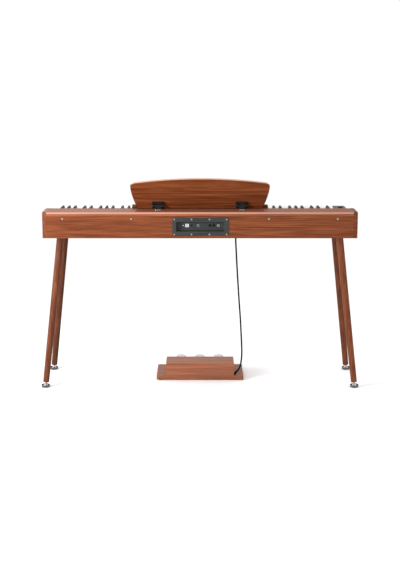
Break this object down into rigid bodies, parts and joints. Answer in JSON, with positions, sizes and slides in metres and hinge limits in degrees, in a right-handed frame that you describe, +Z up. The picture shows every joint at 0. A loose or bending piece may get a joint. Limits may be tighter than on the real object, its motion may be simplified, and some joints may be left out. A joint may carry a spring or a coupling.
{
  "type": "digital piano on stand",
  "caption": "Full-size digital piano in a walnut case on splayed round legs, with a folding music rest and a separate three-pedal unit on a cord.",
  "frame": {"origin": "on the floor, in the middle of the footprint of the feet and pedals", "axes": "+X along the keyboard towards the treble end, +Y towards the back with the sockets, +Z up; the player sits on the -Y side"},
  "size_m": [1.3692, 0.3706, 0.8979],
  "materials": {
    "walnut": "satin red-brown walnut, grain along the longest side",
    "inner_wood": "stained board, matt",
    "charcoal_plastic": "fine moulded texture",
    "black_plastic": "satin",
    "grille_steel": "black powder coat",
    "white_key": "gloss",
    "black_key": "satin",
    "screws": "bright zinc",
    "steel": "zinc plated",
    "chrome": "polished",
    "felt": "pressed wool felt",
    "circuit_board": "solder mask",
    "rubber": "matt",
    "cord_jacket": "matt"
  },
  "bodies": {
    "case_and_stand": {"back_panel": "walnut", "top_board": "walnut", "side_panel_treble": "walnut", "side_panel_bass": "walnut", "key_slip": "walnut", "pedal_base": "walnut", "pedal_housing": "walnut", "leg_rear_treble": "walnut", "leg_rear_bass": "walnut", "leg_front_treble": "walnut", "leg_front_bass": "walnut", "bottom_board": "inner_wood", "cheek_block": "inner_wood", "jack_panel": "charcoal_plastic", "control_panel": "black_plastic", "jack_sockets": "black_plastic", "speakers": "black_plastic", "speaker_grilles": "grille_steel", "jack_panel_screws": "screws", "case_screws": "screws", "keybed_frame": "steel", "key_pivot_rod": "steel", "leg_plates": "steel", "leg_studs": "steel", "pedal_axle": "steel", "rest_hinge_pins": "steel", "rest_hinge_bases": "chrome", "key_felt": "felt", "circuit_boards": "circuit_board", "pedal_unit_feet": "rubber", "pedal_cord": "cord_jacket", "cord_plug": "cord_jacket", "cord_strain_relief": "cord_jacket"},
    "music_rest": {"music_rest_board": "walnut", "music_rest_ledge": "walnut", "rest_hinge_blocks": "black_plastic"},
    "volume_knob": {"volume_knob": "charcoal_plastic"},
    "keys_bass": {"white_keys_bass": "white_key", "black_keys_bass": "black_key"},
    "keys_treble": {"white_keys_treble": "white_key", "black_keys_treble": "black_key"},
    "key_c4": {"key_c4": "white_key"},
    "key_c_sharp_4": {"key_c_sharp_4": "black_key"},
    "key_d4": {"key_d4": "white_key"},
    "key_d_sharp_4": {"key_d_sharp_4": "black_key"},
    "key_e4": {"key_e4": "white_key"},
    "key_f4": {"key_f4": "white_key"},
    "key_f_sharp_4": {"key_f_sharp_4": "black_key"},
    "key_g4": {"key_g4": "white_key"},
    "key_g_sharp_4": {"key_g_sharp_4": "black_key"},
    "key_a4": {"key_a4": "white_key"},
    "key_a_sharp_4": {"key_a_sharp_4": "black_key"},
    "key_b4": {"key_b4": "white_key"},
    "pedal_soft": {"pedal_soft": "chrome"},
    "pedal_sostenuto": {"pedal_sostenuto": "chrome"},
    "pedal_sustain": {"pedal_sustain": "chrome"},
    "foot_rear_treble": {"foot_rear_treble": "chrome"},
    "foot_rear_bass": {"foot_rear_bass": "chrome"},
    "foot_front_treble": {"foot_front_treble": "chrome"},
    "foot_front_bass": {"foot_front_bass": "chrome"}
  },
  "joints": [
    {"name": "music_rest_fold", "type": "hinge", "parent": "case_and_stand", "child": "music_rest", "pos_m": [0, 0.07309, 0.77411], "axis": [-1, 0, 0], "range_deg": [0, 66]},
    {"name": "volume_turn", "type": "hinge", "parent": "case_and_stand", "child": "volume_knob", "pos_m": [-0.613, -0.038, 0.757], "axis": [0, 0, -1], "range_deg": [0, 300]},
    {"name": "keys_bass_press", "type": "hinge", "parent": "case_and_stand", "child": "keys_bass", "pos_m": [0.029, 0.107, 0.7315], "axis": [1, 0, 0], "range_deg": [0, 2.6], "stiffness_Nm_per_rad": 78, "springref_deg": -5.73},
    {"name": "keys_treble_press", "type": "hinge", "parent": "case_and_stand", "child": "keys_treble", "pos_m": [0.029, 0.107, 0.7315], "axis": [1, 0, 0], "range_deg": [0, 2.6], "stiffness_Nm_per_rad": 74, "springref_deg": -5.73},
    {"name": "key_c4_press", "type": "hinge", "parent": "case_and_stand", "child": "key_c4", "pos_m": [0.029, 0.107, 0.7315], "axis": [1, 0, 0], "range_deg": [0, 2.6], "stiffness_Nm_per_rad": 2, "springref_deg": -5.73},
    {"name": "key_c_sharp_4_press", "type": "hinge", "parent": "case_and_stand", "child": "key_c_sharp_4", "pos_m": [0.029, 0.107, 0.7315], "axis": [1, 0, 0], "range_deg": [0, 2.6], "stiffness_Nm_per_rad": 2, "springref_deg": -5.73},
    {"name": "key_d4_press", "type": "hinge", "parent": "case_and_stand", "child": "key_d4", "pos_m": [0.029, 0.107, 0.7315], "axis": [1, 0, 0], "range_deg": [0, 2.6], "stiffness_Nm_per_rad": 2, "springref_deg": -5.73},
    {"name": "key_d_sharp_4_press", "type": "hinge", "parent": "case_and_stand", "child": "key_d_sharp_4", "pos_m": [0.029, 0.107, 0.7315], "axis": [1, 0, 0], "range_deg": [0, 2.6], "stiffness_Nm_per_rad": 2, "springref_deg": -5.73},
    {"name": "key_e4_press", "type": "hinge", "parent": "case_and_stand", "child": "key_e4", "pos_m": [0.029, 0.107, 0.7315], "axis": [1, 0, 0], "range_deg": [0, 2.6], "stiffness_Nm_per_rad": 2, "springref_deg": -5.73},
    {"name": "key_f4_press", "type": "hinge", "parent": "case_and_stand", "child": "key_f4", "pos_m": [0.029, 0.107, 0.7315], "axis": [1, 0, 0], "range_deg": [0, 2.6], "stiffness_Nm_per_rad": 2, "springref_deg": -5.73},
    {"name": "key_f_sharp_4_press", "type": "hinge", "parent": "case_and_stand", "child": "key_f_sharp_4", "pos_m": [0.029, 0.107, 0.7315], "axis": [1, 0, 0], "range_deg": [0, 2.6], "stiffness_Nm_per_rad": 2, "springref_deg": -5.73},
    {"name": "key_g4_press", "type": "hinge", "parent": "case_and_stand", "child": "key_g4", "pos_m": [0.029, 0.107, 0.7315], "axis": [1, 0, 0], "range_deg": [0, 2.6], "stiffness_Nm_per_rad": 2, "springref_deg": -5.73},
    {"name": "key_g_sharp_4_press", "type": "hinge", "parent": "case_and_stand", "child": "key_g_sharp_4", "pos_m": [0.029, 0.107, 0.7315], "axis": [1, 0, 0], "range_deg": [0, 2.6], "stiffness_Nm_per_rad": 2, "springref_deg": -5.73},
    {"name": "key_a4_press", "type": "hinge", "parent": "case_and_stand", "child": "key_a4", "pos_m": [0.029, 0.107, 0.7315], "axis": [1, 0, 0], "range_deg": [0, 2.6], "stiffness_Nm_per_rad": 2, "springref_deg": -5.73},
    {"name": "key_a_sharp_4_press", "type": "hinge", "parent": "case_and_stand", "child": "key_a_sharp_4", "pos_m": [0.029, 0.107, 0.7315], "axis": [1, 0, 0], "range_deg": [0, 2.6], "stiffness_Nm_per_rad": 2, "springref_deg": -5.73},
    {"name": "key_b4_press", "type": "hinge", "parent": "case_and_stand", "child": "key_b4", "pos_m": [0.029, 0.107, 0.7315], "axis": [1, 0, 0], "range_deg": [0, 2.6], "stiffness_Nm_per_rad": 2, "springref_deg": -5.73},
    {"name": "pedal_soft_press", "type": "hinge", "parent": "case_and_stand", "child": "pedal_soft", "pos_m": [0, 0.015, 0.047], "axis": [1, 0, 0], "range_deg": [0, 5], "stiffness_Nm_per_rad": 20, "springref_deg": -6.88},
    {"name": "pedal_sostenuto_press", "type": "hinge", "parent": "case_and_stand", "child": "pedal_sostenuto", "pos_m": [0, 0.015, 0.047], "axis": [1, 0, 0], "range_deg": [0, 5], "stiffness_Nm_per_rad": 20, "springref_deg": -6.88},
    {"name": "pedal_sustain_press", "type": "hinge", "parent": "case_and_stand", "child": "pedal_sustain", "pos_m": [0, 0.015, 0.047], "axis": [1, 0, 0], "range_deg": [0, 5], "stiffness_Nm_per_rad": 20, "springref_deg": -6.88},
    {"name": "foot_rear_treble_level", "type": "slide", "parent": "case_and_stand", "child": "foot_rear_treble", "axis": [0.1116, 0.0888, -0.9898], "range_m": [-0.005, 0.012]},
    {"name": "foot_rear_bass_level", "type": "slide", "parent": "case_and_stand", "child": "foot_rear_bass", "axis": [-0.1116, 0.0888, -0.9898], "range_m": [-0.005, 0.012]},
    {"name": "foot_front_treble_level", "type": "slide", "parent": "case_and_stand", "child": "foot_front_treble", "axis": [0.1116, -0.0888, -0.9898], "range_m": [-0.005, 0.012]},
    {"name": "foot_front_bass_level", "type": "slide", "parent": "case_and_stand", "child": "foot_front_bass", "axis": [-0.1116, -0.0888, -0.9898], "range_m": [-0.005, 0.012]}
  ]
}
